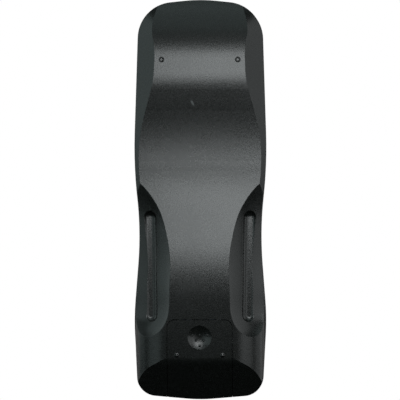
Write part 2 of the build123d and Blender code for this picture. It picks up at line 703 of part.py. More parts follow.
def circuit_board():
    """Circuit board with screw holes, cut straight at both ends."""
    board = extrude(section(BOARD_INSET, BOARD_Z), BOARD_T)
    reach = HIP_HALF + BEYOND
    board &= box(
        (-reach, reach), (-HALF + BOARD_TAIL_MARGIN, BOARD_HEAD_Y), (BOARD_Z, BOARD_TOP_Z)
    )
    for x, y in screw_places():
        board -= Pos(x, y, BOARD_Z) * Cylinder(SCREW_DIAMETER / 2 + SCREW_CLEARANCE, 4 * BOARD_T)
    return board


def board_screws():
    """Pan-head screws from below through the board into the bosses."""
    screws = []
    for x, y in screw_places():
        head = Cylinder(SCREW_HEAD_DIAMETER / 2, SCREW_HEAD_H, align=(Align.CENTER, Align.CENTER, Align.MAX))
        head = fillet(head.edges().sort_by(Axis.Z)[0], 0.6)
        shank = Cylinder(SCREW_DIAMETER / 2, SCREW_LENGTH, align=(Align.CENTER, Align.CENTER, Align.MIN))
        screws.append(Pos(x, y, BOARD_Z) * (head + shank))
    return Compound(children=screws)


def driver_chip():
    """Chip soldered under the board, with two rows of legs."""
    width, length, height = CHIP_SIZE
    lift = 0.15
    body = box((-width / 2, width / 2), (-length / 2, length / 2), (-height, -lift))
    body = chamfer(body.edges().group_by(Axis.Z)[0], 0.4)
    for place in range(CHIP_LEGS):
        y = (place - (CHIP_LEGS - 1) / 2) * CHIP_LEG_PITCH
        leg = box((width / 2 - 0.2, width / 2 + 0.9), (y - 0.2, y + 0.2), (-height / 2 - 0.25, -height / 2))
        leg += box((width / 2 + 0.65, width / 2 + 0.9), (y - 0.2, y + 0.2), (-height / 2, 0))
        for side in both_sides(leg):
            body += side
    return Pos(0, CHIP_Y, BOARD_Z) * body


def resonator():
    """Ceramic resonator standing under the board."""
    width, depth, height = RESONATOR_SIZE
    plan = RectangleRounded(width, depth, depth / 2 - 0.1)
    return Pos(*RESONATOR_PLACE, BOARD_Z - height) * extrude(plan, height)


def capacitor():
    """Electrolytic capacitor standing under the board, rounded at its top."""
    can = Cylinder(CAPACITOR_DIAMETER / 2, CAPACITOR_LENGTH, align=(Align.CENTER, Align.CENTER, Align.MAX))
    can = fillet(can.edges().sort_by(Axis.Z)[0], 0.5)
    return Pos(*CAPACITOR_PLACE, BOARD_Z) * can


def infrared_led():
    """Infrared diode with its domed lens, rim and two legs on the board."""
    radius = LED_DIAMETER / 2
    base_y = BOARD_HEAD_Y + LED_RIM
    body = Cylinder(radius, LED_LENGTH - radius, rotation=(-90, 0, 0), align=(Align.CENTER, Align.CENTER, Align.MIN))
    body += Pos(0, LED_LENGTH - radius, 0) * Sphere(radius)
    body += Cylinder(radius + LED_RIM, 1.0, rotation=(-90, 0, 0), align=(Align.CENTER, Align.CENTER, Align.MIN))
    half = LED_LEG / 2
    for x in (-LED_LEG_PITCH / 2, LED_LEG_PITCH / 2):
        body += box((x - half, x + half), (-LED_LEG_LENGTH, 0.5), (-half, half))
    return Pos(0, base_y, LED_Z) * body


def parts():
    """Every piece of the remote by name."""
    outer = soft_edges(back_form(0))
    left_flat_y = HEAD_CONTACT_Y - SPRING_LENGTH
    right_flat_y = BRIDGE_Y + SPRING_LENGTH
    pieces = {
        "rear_cover": rear_cover(outer),
        "front_cover": front_cover(),
        "battery_door": battery_door(outer),
        "ir_window": ir_window(),
        "circuit_board": circuit_board(),
        "board_screws": board_screws(),
        "keypad_sheet": keypad_sheet(),
        "driver_chip": driver_chip(),
        "resonator": resonator(),
        "capacitor": capacitor(),
        "infrared_led": infrared_led(),
        "battery_left": cell(-CELL_X, left_flat_y, -1),
        "battery_right": cell(CELL_X, right_flat_y, 1),
        "spring_contact": spring_contact(),
        "plate_contact": head_contact(CELL_X),
        "bridge_contact": bridge_contact(),
    }
    for name, (plan, x, y) in key_layout().items():
        pieces[name] = Pos(x, y, 0) * keycap(plan)
    for name, (x, y) in rocker_layout().items():
        pieces[name] = Pos(x, y, 0) * rocker()
    return pieces


os.makedirs("parts", exist_ok=True)
for node, piece in parts().items():
    export_step(piece, f"parts/{node}.step")
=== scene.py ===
"""Looks of a black hand-held remote control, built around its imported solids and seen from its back."""

from __future__ import annotations

import json
import logging
import math
from dataclasses import dataclass, field
from enum import Enum
from typing import Callable

import bpy
from mathutils import Matrix, Vector

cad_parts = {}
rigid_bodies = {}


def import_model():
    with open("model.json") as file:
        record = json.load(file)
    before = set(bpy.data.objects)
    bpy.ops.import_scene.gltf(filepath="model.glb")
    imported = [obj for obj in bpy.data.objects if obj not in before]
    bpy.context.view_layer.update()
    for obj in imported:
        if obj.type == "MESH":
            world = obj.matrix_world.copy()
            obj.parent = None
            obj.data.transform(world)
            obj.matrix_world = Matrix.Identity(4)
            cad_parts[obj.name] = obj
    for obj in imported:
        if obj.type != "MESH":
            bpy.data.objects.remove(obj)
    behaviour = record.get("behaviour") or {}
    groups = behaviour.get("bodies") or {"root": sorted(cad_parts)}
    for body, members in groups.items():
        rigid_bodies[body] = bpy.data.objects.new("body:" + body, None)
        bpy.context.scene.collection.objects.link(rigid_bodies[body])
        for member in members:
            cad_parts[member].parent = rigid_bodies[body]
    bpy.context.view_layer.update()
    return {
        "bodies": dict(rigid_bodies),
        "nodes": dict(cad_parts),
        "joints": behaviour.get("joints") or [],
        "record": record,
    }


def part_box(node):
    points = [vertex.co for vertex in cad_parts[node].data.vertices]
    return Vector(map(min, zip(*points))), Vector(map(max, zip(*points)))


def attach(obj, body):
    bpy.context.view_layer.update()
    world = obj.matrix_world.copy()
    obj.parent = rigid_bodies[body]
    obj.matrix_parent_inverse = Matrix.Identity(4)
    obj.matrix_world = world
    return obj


LOG = logging.getLogger("remote")
MM = 0.001

NodeTree = bpy.types.NodeTree
Node = bpy.types.Node
Socket = bpy.types.NodeSocket
Material = bpy.types.Material
Object = bpy.types.Object
Colour = tuple[float, float, float]
Point = tuple[float, float, float]
Span = tuple[float, float]

# Places of the colour sockets in Blender's Mix node, whose names repeat for every kind of value
MIX_FACTOR, MIX_FIRST, MIX_SECOND, MIX_RESULT = 0, 6, 7, 2

# How the moulded grain is put together from noise
NOISE_MIDDLE = 0.5
BROAD_SCALE = 0.34
FINE_SHARE = 0.68
CLOUDS_PER_METRE = 42.0
SPECKLE_SHARE = 1.5
PEAKS: Span = (0.42, 0.7)

# Share of a scuff's half size within which it is fully pale
SCUFF_CORE = 0.45


def grey(value: float) -> Colour:
    """A neutral colour of one brightness."""
    return (value, value, value)


def rgba(colour: Colour) -> tuple[float, float, float, float]:
    """A colour with full opacity added."""
    return (*colour, 1.0)


class Value(Enum):
    """The kinds of socket that the finish groups use."""

    NUMBER = "NodeSocketFloat"
    COLOUR = "NodeSocketColor"
    VECTOR = "NodeSocketVector"


@dataclass
class Wiring:
    """Short ways to add and join nodes in one node tree."""

    tree: NodeTree

    def add(self, kind: str, **values: object) -> Node:
        """Adds a node and sets its properties.

        Args:
            kind: Blender's type name of the node.
            **values: properties of the node by name.

        Returns:
            The new node.
        """
        node = self.tree.nodes.new(kind)
        for name, value in values.items():
            setattr(node, name, value)
        return node

    def join(self, source: Socket, target: Socket) -> None:
        """Links an output to an input."""
        self.tree.links.new(source, target)

    def feed(self, target: Socket, value: object) -> None:
        """Links a socket to an input, or sets the input to a plain value.

        Args:
            target: the input.
            value: socket to link, or value to set.
        """
        if isinstance(value, bpy.types.NodeSocket):
            self.join(value, target)
        else:
            target.default_value = value

    def math(self, operation: str, first: object, second: object = 0.0, clamp: bool = False) -> Socket:
        """Adds a math node.

        Args:
            operation: Blender's name of the operation.
            first: first socket or number.
            second: second socket or number.
            clamp: keeps the result between 0 and 1.

        Returns:
            The result's socket.
        """
        node = self.add("ShaderNodeMath", operation=operation, use_clamp=clamp)
        self.feed(node.inputs[0], first)
        self.feed(node.inputs[1], second)
        return node.outputs[0]

    def ramp(self, source: object, low: float, high: float, start: float = 0.0, end: float = 1.0) -> Socket:
        """Maps a value smoothly from low..high to start..end.

        Args:
            source: socket to map.
            low: value that gives start.
            high: value that gives end.
            start: result at low.
            end: result at high.

        Returns:
            The mapped value's socket.
        """
        node = self.add("ShaderNodeMapRange", interpolation_type="SMOOTHSTEP")
        self.feed(node.inputs["Value"], source)
        node.inputs["From Min"].default_value = low
        node.inputs["From Max"].default_value = high
        node.inputs["To Min"].default_value = start
        node.inputs["To Max"].default_value = end
        return node.outputs["Result"]

    def noise(self, vector: Socket, scale: object, detail: float = 2.0, roughness: float = 0.5) -> Socket:
        """Adds a noise texture.

        Args:
            vector: where the texture is read.
            scale: features per metre.
            detail: octaves.
            roughness: weight of the finer octaves.

        Returns:
            The noise value's socket.
        """
        node = self.add("ShaderNodeTexNoise")
        self.join(vector, node.inputs["Vector"])
        self.feed(node.inputs["Scale"], scale)
        node.inputs["Detail"].default_value = detail
        node.inputs["Roughness"].default_value = roughness
        return node.outputs["Fac"]

    def mix_colour(self, factor: object, first: object, second: object) -> Socket:
        """Blends two colours.

        Args:
            factor: share of the second colour.
            first: first socket or colour.
            second: second socket or colour.

        Returns:
            The blended colour's socket.
        """
        node = self.add("ShaderNodeMix", data_type="RGBA")
        self.feed(node.inputs[MIX_FACTOR], factor)
        self.feed(node.inputs[MIX_FIRST], first)
        self.feed(node.inputs[MIX_SECOND], second)
        return node.outputs[MIX_RESULT]

    def under(self, value: Socket, limit: float) -> Socket:
        """1 where the value is under the limit, else 0."""
        return self.math("LESS_THAN", value, limit)

    def over(self, value: Socket, limit: float) -> Socket:
        """1 where the value is over the limit, else 0."""
        return self.math("GREATER_THAN", value, limit)


@dataclass(frozen=True)
class EffectGroup:
    """A shader effect that several finishes share, as a node group with named sockets."""

    name: str
    inputs: tuple[tuple[str, Value, object], ...]
    outputs: tuple[tuple[str, Value], ...]
    wire: Callable[[Wiring, Node, Node], None]

    def tree(self) -> NodeTree:
        """Builds the group's node tree the first time that it is asked for.

        Returns:
            The node tree.
        """
        found = bpy.data.node_groups.get(self.name)
        if found is not None:
            return found
        tree = bpy.data.node_groups.new(self.name, "ShaderNodeTree")
        for name, kind, value in self.inputs:
            socket = tree.interface.new_socket(name=name, in_out="INPUT", socket_type=kind.value)
            socket.default_value = value
        for name, kind in self.outputs:
            tree.interface.new_socket(name=name, in_out="OUTPUT", socket_type=kind.value)
        wiring = Wiring(tree)
        self.wire(wiring, wiring.add("NodeGroupInput"), wiring.add("NodeGroupOutput"))
        return tree

    def place(self, wiring: Wiring, **values: object) -> Node:
        """Puts the group into a material.

        Args:
            wiring: the material's wiring.
            **values: input values or sockets, with underscores for the spaces in their names.

        Returns:
            The group node.
        """
        node = wiring.add("ShaderNodeGroup", node_tree=self.tree())
        for name, value in values.items():
            wiring.feed(node.inputs[name.replace("_", " ").capitalize()], value)
        return node


def wire_moulded_grain(w: Wiring, given: Node, result: Node) -> None:
    """Wires a fine spark-eroded mould texture: small pits and bumps that scatter light a little.

    Args:
        w: the group's wiring.
        given: the group's inputs.
        result: the group's outputs.
    """
    place = w.add("ShaderNodeTexCoord").outputs["Object"]
    size = given.outputs["Grain per metre"]
    fine = w.noise(place, size, detail=1.5, roughness=0.6)
    broad = w.noise(place, w.math("MULTIPLY", size, BROAD_SCALE), detail=1.0)
    grain = w.math("ADD", w.math("MULTIPLY", fine, FINE_SHARE), w.math("MULTIPLY", broad, 1.0 - FINE_SHARE))
    height = w.math("SUBTRACT", grain, NOISE_MIDDLE)
    w.join(height, result.inputs["Height"])
    cloud = w.noise(place, CLOUDS_PER_METRE, detail=2.0)
    spread = given.outputs["Roughness spread"]
    uneven = w.math("MULTIPLY", w.math("SUBTRACT", cloud, NOISE_MIDDLE), spread)
    speckle = w.math("MULTIPLY", height, w.math("MULTIPLY", spread, SPECKLE_SHARE))
    rough = w.math("ADD", given.outputs["Roughness"], w.math("ADD", uneven, speckle), clamp=True)
    w.join(rough, result.inputs["Roughness"])
    lift = w.ramp(grain, *PEAKS)
    w.join(w.mix_colour(lift, given.outputs["Colour"], given.outputs["Colour on peaks"]), result.inputs["Colour"])


def wire_nub_ring(w: Wiring, given: Node, result: Node) -> None:
    """Wires a ring-shaped dip around a pair of nubs, or a swell at them where the depth is negative.

    Args:
        w: the group's wiring.
        given: the group's inputs.
        result: the group's outputs.
    """
    place = w.add("ShaderNodeSeparateXYZ")
    w.join(w.add("ShaderNodeTexCoord").outputs["Object"], place.inputs[0])
    across = w.math("SUBTRACT", w.math("ABSOLUTE", place.outputs["X"]), given.outputs["Across"])
    along = w.math("SUBTRACT", place.outputs["Y"], given.outputs["Along"])
    away = w.math("SQRT", w.math("ADD", w.math("POWER", across, 2.0), w.math("POWER", along, 2.0)))
    off = w.math("ABSOLUTE", w.math("SUBTRACT", away, given.outputs["Radius"]))
    shape = w.ramp(w.math("DIVIDE", off, given.outputs["Width"]), 0.0, 1.0, -1.0, 0.0)
    w.join(w.math("MULTIPLY", shape, given.outputs["Depth"]), result.inputs["Height"])


def wire_scuff(w: Wiring, given: Node, result: Node) -> None:
    """Wires the mask of one short scuff, an oval that fades towards its edge.

    Args:
        w: the group's wiring.
        given: the group's inputs.
        result: the group's outputs.
    """
    mark = w.add("ShaderNodeMapping", vector_type="TEXTURE")
    w.join(w.add("ShaderNodeTexCoord").outputs["Object"], mark.inputs["Vector"])
    w.join(given.outputs["Middle"], mark.inputs["Location"])
    w.join(given.outputs["Turn"], mark.inputs["Rotation"])
    w.join(given.outputs["Half size"], mark.inputs["Scale"])
    flat = w.add("ShaderNodeVectorMath", operation="MULTIPLY")
    w.join(mark.outputs["Vector"], flat.inputs[0])
    flat.inputs[1].default_value = (1.0, 1.0, 0.0)
    length = w.add("ShaderNodeVectorMath", operation="LENGTH")
    w.join(flat.outputs[0], length.inputs[0])
    w.join(w.ramp(length.outputs["Value"], SCUFF_CORE, 1.0, 1.0, 0.0), result.inputs["Mask"])


MOULDED_GRAIN = EffectGroup(
    "moulded_grain",
    (
        ("Colour", Value.COLOUR, rgba(grey(0.012))),
        ("Colour on peaks", Value.COLOUR, rgba(grey(0.02))),
        ("Grain per metre", Value.NUMBER, 1800.0),
        ("Roughness", Value.NUMBER, 0.35),
        ("Roughness spread", Value.NUMBER, 0.05),
    ),
    (("Colour", Value.COLOUR), ("Roughness", Value.NUMBER), ("Height", Value.NUMBER)),
    wire_moulded_grain,
)
NUB_RING = EffectGroup(
    "nub_ring",
    (
        ("Across", Value.NUMBER, 0.019),
        ("Along", Value.NUMBER, 0.0),
        ("Radius", Value.NUMBER, 0.00105),
        ("Width", Value.NUMBER, 0.0005),
        ("Depth", Value.NUMBER, 1.0),
    ),
    (("Height", Value.NUMBER),),
    wire_nub_ring,
)
SCUFF = EffectGroup(
    "scuff",
    (
        ("Middle", Value.VECTOR, (0.0, 0.0, 0.0)),
        ("Turn", Value.VECTOR, (0.0, 0.0, 0.0)),
        ("Half size", Value.VECTOR, (0.002, 0.0004, 1.0)),
    ),
    (("Mask", Value.NUMBER),),
    wire_scuff,
)


def new_material(name: str) -> tuple[Material, Wiring, Node]:
    """Starts a material.

    Args:
        name: the material's name.

    Returns:
        The material, its wiring and its Principled shader.
    """
    material = bpy.data.materials.new(name)
    material.use_nodes = True
    wiring = Wiring(material.node_tree)
    return material, wiring, material.node_tree.nodes["Principled BSDF"]


@dataclass(frozen=True)
class MouldedPlastic:
    """Injection-moulded plastic with a fine grain, from a plain colour."""

    name: str
    colour: Colour
    peaks: Colour
    roughness: float = 0.32
    spread: float = 0.05
    grain_mm: float = 0.55
    depth_mm: float = 0.012

    def build(self) -> Material:
        """Makes the plastic's material.

        Returns:
            The material.
        """
        material, w, shader = new_material(self.name)
        grain = MOULDED_GRAIN.place(
            w,
            colour=rgba(self.colour),
            colour_on_peaks=rgba(self.peaks),
            grain_per_metre=1.0 / (self.grain_mm * MM),
            roughness=self.roughness,
            roughness_spread=self.spread,
        )
        colour, height = self.worked(w, grain.outputs["Colour"], grain.outputs["Height"])
        w.join(colour, shader.inputs["Base Color"])
        w.join(grain.outputs["Roughness"], shader.inputs["Roughness"])
        bump = w.add("ShaderNodeBump")
        bump.inputs["Distance"].default_value = self.depth_mm * MM
        w.join(height, bump.inputs["Height"])
        w.join(bump.outputs["Normal"], shader.inputs["Normal"])
        return material

    def worked(self, w: Wiring, colour: Socket, height: Socket) -> tuple[Socket, Socket]:
        """Adds nothing to the bare moulding; a finish with details of its own adds them here.

        Args:
            w: the material's wiring.
            colour: the plastic's colour.
            height: the grain's height.

        Returns:
            The colour and the height to use.
        """
        return colour, height


@dataclass(frozen=True)
class NubRing:
    """A dip around a pair of nubs in millimetres, one nub on each side of the middle; a negative depth is a swell."""

    across: float
    along: float
    radius: float
    width: float
    depth: float


@dataclass(frozen=True)
class ShellPlastic(MouldedPlastic):
    """The case's plastic, with a ring around the head's nubs, a swell at the tail's and one short scuff."""

    rings: tuple[NubRing, ...] = (
        NubRing(across=19.0, along=69.6, radius=1.0, width=0.45, depth=0.16),
        NubRing(across=11.4, along=-77.4, radius=0.0, width=1.3, depth=-0.3),
    )
    scuff_mm: Span = (3.6, 48.1)
    scuff_turn: float = 60.6
    scuff_size_mm: Span = (2.1, 0.7)
    scuff_colour: Colour = (0.085, 0.09, 0.09)

    def worked(self, w: Wiring, colour: Socket, height: Socket) -> tuple[Socket, Socket]:
        """Adds the rings and the scuff.

        Args:
            w: the material's wiring.
            colour: the plastic's colour.
            height: the grain's height.

        Returns:
            The colour with the scuff and the height with the rings.
        """
        for ring in self.rings:
            dip = NUB_RING.place(
                w,
                across=ring.across * MM,
                along=ring.along * MM,
                radius=ring.radius * MM,
                width=ring.width * MM,
                depth=ring.depth / self.depth_mm,
            )
            height = w.math("ADD", height, dip.outputs["Height"])
        scuff = SCUFF.place(
            w,
            middle=(self.scuff_mm[0] * MM, self.scuff_mm[1] * MM, 0.0),
            turn=(0.0, 0.0, math.radians(self.scuff_turn)),
            half_size=(self.scuff_size_mm[0] * MM, self.scuff_size_mm[1] * MM, 1.0),
        )
        return w.mix_colour(scuff.outputs["Mask"], colour, rgba(self.scuff_colour)), height


@dataclass(frozen=True)
class PlainFinish:
    """A finish with one colour that varies a little, for metal, rubber, resin and ink."""

    name: str
    colour: Colour
    roughness: float = 0.4
    metallic: float = 0.0
    variation: float = 0.12
    patch_mm: float = 3.0
    patch_edge: Span = (0.25, 0.75)
    coat: float = 0.0

    def build(self) -> Material:
        """Makes the finish's material.

        Returns:
            The material.
        """
        material, w, shader = new_material(self.name)
        place = w.add("ShaderNodeTexCoord").outputs["Object"]
        patch = w.noise(place, 1.0 / (self.patch_mm * MM), detail=3.0)
        darker = rgba(tuple(c * (1.0 - self.variation) for c in self.colour))
        lighter = rgba(tuple(min(1.0, c * (1.0 + self.variation)) for c in self.colour))
        w.join(w.mix_colour(patch, darker, lighter), shader.inputs["Base Color"])
        spread = self.roughness * self.variation
        rough = w.ramp(patch, *self.patch_edge, self.roughness - spread, self.roughness + spread)
        w.join(rough, shader.inputs["Roughness"])
        shader.inputs["Metallic"].default_value = self.metallic
        shader.inputs["Coat Weight"].default_value = self.coat
        return material


def deselect() -> None:
    """Leaves edit mode and clears the selection."""
    if bpy.context.object is not None and bpy.context.object.mode != "OBJECT":
        bpy.ops.object.mode_set(mode="OBJECT")
    bpy.ops.object.select_all(action="DESELECT")


def choose(obj: Object) -> None:
    """Makes an object the only selected and the active one.

    Args:
        obj: the object.
    """
    deselect()
    obj.select_set(True)
    bpy.context.view_layer.objects.active = obj


def dress(node: str, material: Material, frame: dict) -> None:
    """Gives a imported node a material.

    Args:
        node: the node's name.
        material: the material for all of its faces.
    """
    obj = frame["nodes"][node]
    for slot in obj.material_slots:
        slot.material = material
    LOG.info("dressed %s with %s", node, material.name)


@dataclass
class Case:
    """The two covers and the battery door in black moulded plastic."""

    shell: ShellPlastic = field(
        default_factory=lambda: ShellPlastic(
            "black_case", (0.0042, 0.005, 0.0044), (0.009, 0.01, 0.0096), roughness=0.275, depth_mm=0.032
        )
    )
    face: MouldedPlastic = field(
        default_factory=lambda: MouldedPlastic(
            "black_face", grey(0.012), grey(0.018), roughness=0.38, grain_mm=0.5, depth_mm=0.01
        )
    )
    window: PlainFinish = field(
        default_factory=lambda: PlainFinish("dark_window", (0.012, 0.002, 0.004), roughness=0.08, variation=0.05)
    )

    def build(self, frame: dict) -> None:
        """Dresses the covers, the door and the window.
        """
        shell = self.shell.build()
        dress("rear_cover", shell, frame)
        dress("battery_door", shell, frame)
        dress("front_cover", self.face.build(), frame)
        dress("ir_window", self.window.build(), frame)


class Sign(Enum):
    """The signs printed on the keys, beside the numbers."""

    POWER = "power"
    SOURCE = "source"
    MUTE = "mute"
    MENU = "menu"
    BACK = "back"
    SWAP = "swap"
    UP = "up"
    LEFT = "left"
    DOWN = "down"
    RIGHT = "right"


@dataclass
class Stamp:
    """Flat ink marks in millimetres about a middle, pressed onto one keycap as a thin mesh."""

    ink: Material
    depth_mm: float = 0.03
    bar_rounding: float = 0.42
    tip_rounding: float = 0.16
    ring_points: int = 60
    marks: list[Object] = field(default_factory=list)

    def keep(self) -> None:
        """Takes the mark just made into the stamp."""
        bpy.ops.object.transform_apply(location=True, rotation=True, scale=True)
        self.marks.append(bpy.context.object)

    def bar(self, x: float, y: float, length: float, width: float, turn: float = 0.0) -> None:
        """Adds a bar with round ends.

        Args:
            x: middle of the bar across the remote.
            y: middle of the bar along the remote.
            length: its whole length.
            width: its width.
            turn: its angle from the X axis in degrees.
        """
        deselect()
        bpy.ops.mesh.primitive_plane_add(size=1.0)
        bar = bpy.context.object
        bar.scale = (length * MM, width * MM, 1.0)
        bpy.ops.object.transform_apply(location=True, rotation=True, scale=True)
        bpy.ops.object.mode_set(mode="EDIT")
        bpy.ops.mesh.select_all(action="SELECT")
        bpy.ops.mesh.bevel(affect="VERTICES", offset=width * self.bar_rounding * MM, segments=4)
        bpy.ops.object.mode_set(mode="OBJECT")
        bar.rotation_euler = (0.0, 0.0, math.radians(turn))
        bar.location = (x * MM, y * MM, 0.0)
        self.keep()

    def triangle(self, x: float, y: float, size: float, turn: float) -> None:
        """Adds a triangle with softened corners.

        Args:
            x: middle of the triangle across the remote.
            y: middle of the triangle along the remote.
            size: distance from its middle to a corner.
            turn: the angle of its tip from the X axis in degrees.
        """
        deselect()
        bpy.ops.mesh.primitive_circle_add(vertices=3, radius=size * MM, fill_type="NGON")
        bpy.ops.object.mode_set(mode="EDIT")
        bpy.ops.mesh.select_all(action="SELECT")
        bpy.ops.mesh.bevel(affect="VERTICES", offset=size * self.tip_rounding * MM, segments=3)
        bpy.ops.object.mode_set(mode="OBJECT")
        triangle = bpy.context.object
        triangle.rotation_euler = (0.0, 0.0, math.radians(turn - 90.0))
        triangle.location = (x * MM, y * MM, 0.0)
        self.keep()

    def arc(self, x: float, y: float, radius: float, width: float, middle: float, gap: float) -> None:
        """Adds a ring that is open on one side.

        Args:
            x: middle of the ring across the remote.
            y: middle of the ring along the remote.
            radius: the ring's outer radius.
            width: the ring's width.
            middle: direction of its gap's middle in degrees.
            gap: the gap's angle in degrees.
        """
        deselect()
        bpy.ops.mesh.primitive_circle_add(vertices=self.ring_points, radius=radius * MM, fill_type="NOTHING")
        bpy.ops.object.mode_set(mode="EDIT")
        bpy.ops.mesh.select_all(action="SELECT")
        bpy.ops.mesh.extrude_edges_move()
        inner = (radius - width) / radius
        bpy.ops.transform.resize(value=(inner, inner, 1.0), center_override=(0.0, 0.0, 0.0))
        bpy.ops.mesh.select_all(action="DESELECT")
        bpy.ops.object.mode_set(mode="OBJECT")
        ring = bpy.context.object
        for face in ring.data.polygons:
            away = math.degrees(math.atan2(face.center.y, face.center.x)) - middle
            face.select = abs((away + 180.0) % 360.0 - 180.0) < gap / 2
        bpy.ops.object.mode_set(mode="EDIT")
        bpy.ops.mesh.select_mode(type="FACE")
        bpy.ops.mesh.delete(type="FACE")
        bpy.ops.object.mode_set(mode="OBJECT")
        ring.location = (x * MM, y * MM, 0.0)
        self.keep()

    def words(self, body: str, height: float) -> None:
        """Adds centred words.

        Args:
            body: what is printed.
            height: size of the letters.
        """
        deselect()
        bpy.ops.object.text_add()
        text = bpy.context.object
        text.data.body = body
        text.data.size = height * MM
        text.data.align_x = "CENTER"
        text.data.align_y = "CENTER"
        bpy.ops.object.convert(target="MESH")
        self.keep()

    def sign(self, kind: Sign) -> None:
        """Adds the marks of one sign.

        Args:
            kind: the sign.
        """
        if kind is Sign.POWER:
            self.arc(0.0, -0.2, 1.8, 0.42, 90.0, 76.0)
            self.bar(0.0, 1.0, 1.9, 0.42, 90.0)
        elif kind is Sign.SOURCE:
            self.bar(0.7, 1.35, 3.4, 0.36)
            self.bar(0.7, -1.35, 3.4, 0.36)
            self.bar(2.25, 0.0, 2.9, 0.36, 90.0)
            self.bar(-1.5, 0.0, 2.6, 0.4)
            self.triangle(0.1, 0.0, 0.85, 0.0)
        elif kind is Sign.MUTE:
            self.speaker(-1.1)
            self.bar(1.5, 0.0, 2.0, 0.38, 45.0)
            self.bar(1.5, 0.0, 2.0, 0.38, -45.0)
        elif kind is Sign.MENU:
            for y in (-1.15, 0.0, 1.15):
                self.bar(0.0, y, 3.6, 0.42)
        elif kind is Sign.BACK:
            self.bar(0.35, -0.45, 2.7, 0.4)
            self.bar(1.55, 0.3, 1.9, 0.4, 90.0)
            self.triangle(-1.1, -0.45, 0.95, 180.0)
        elif kind is Sign.SWAP:
            self.bar(-0.35, 0.75, 2.7, 0.4)
            self.triangle(1.3, 0.75, 0.8, 0.0)
            self.bar(0.35, -0.75, 2.7, 0.4)
            self.triangle(-1.3, -0.75, 0.8, 180.0)
        else:
            turns = {Sign.RIGHT: 0.0, Sign.UP: 90.0, Sign.LEFT: 180.0, Sign.DOWN: 270.0}
            self.triangle(0.0, 0.0, 1.5, turns[kind])

    def speaker(self, x: float) -> None:
        """Adds a small loudspeaker about x."""
        self.bar(x - 0.55, 0.0, 0.9, 1.0)
        self.triangle(x + 0.1, 0.0, 1.25, 180.0)

    def press(self, name: str, place: Point, node: str) -> None:
        """Joins the marks into one thin mesh on a keycap.

        Args:
            name: the mesh's name.
            place: where its middle goes, in metres.
            node: the keycap's node, with which it moves.
        """
        deselect()
        for mark in self.marks:
            mark.select_set(True)
        bpy.context.view_layer.objects.active = self.marks[0]
        if len(self.marks) > 1:
            bpy.ops.object.join()
        print_mesh = bpy.context.view_layer.objects.active
        print_mesh.name = name
        choose(print_mesh)
        thickness = print_mesh.modifiers.new("ink", "SOLIDIFY")
        thickness.thickness = self.depth_mm * MM
        thickness.offset = 1.0
        bpy.ops.object.modifier_apply(modifier="ink")
        print_mesh.location = place
        bpy.ops.object.transform_apply(location=True, rotation=True, scale=True)
        print_mesh.data.materials.clear()
        print_mesh.data.materials.append(self.ink)
        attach(print_mesh, node)
        LOG.info("printed %s", name)


RED: Colour = (0.42, 0.02, 0.016)


